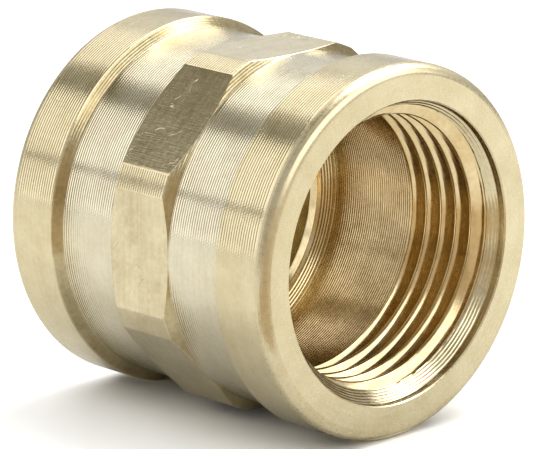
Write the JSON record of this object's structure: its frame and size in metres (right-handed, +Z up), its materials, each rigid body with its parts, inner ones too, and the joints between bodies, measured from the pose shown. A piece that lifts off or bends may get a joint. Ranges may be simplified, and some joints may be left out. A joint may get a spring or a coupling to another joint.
{
  "type": "threaded pipe coupling",
  "caption": "Short turned brass pipe coupling, internally threaded from both ends, with round collars and a faceted wrench band between two shallow grooves.",
  "frame": {"origin": "on the bore axis, halfway along the length, which is also the centre of the bounding box", "axes": "+X along the bore axis, out of the mouth of the deeper socket; +Z up, square to the upper wrench flat; the coupling lies on its side"},
  "size_m": [0.0324, 0.0338, 0.0338],
  "materials": {
    "brass": "turned, with fine tool marks"
  },
  "bodies": {
    "root": {"coupling_body": "brass"}
  },
  "joints": []
}
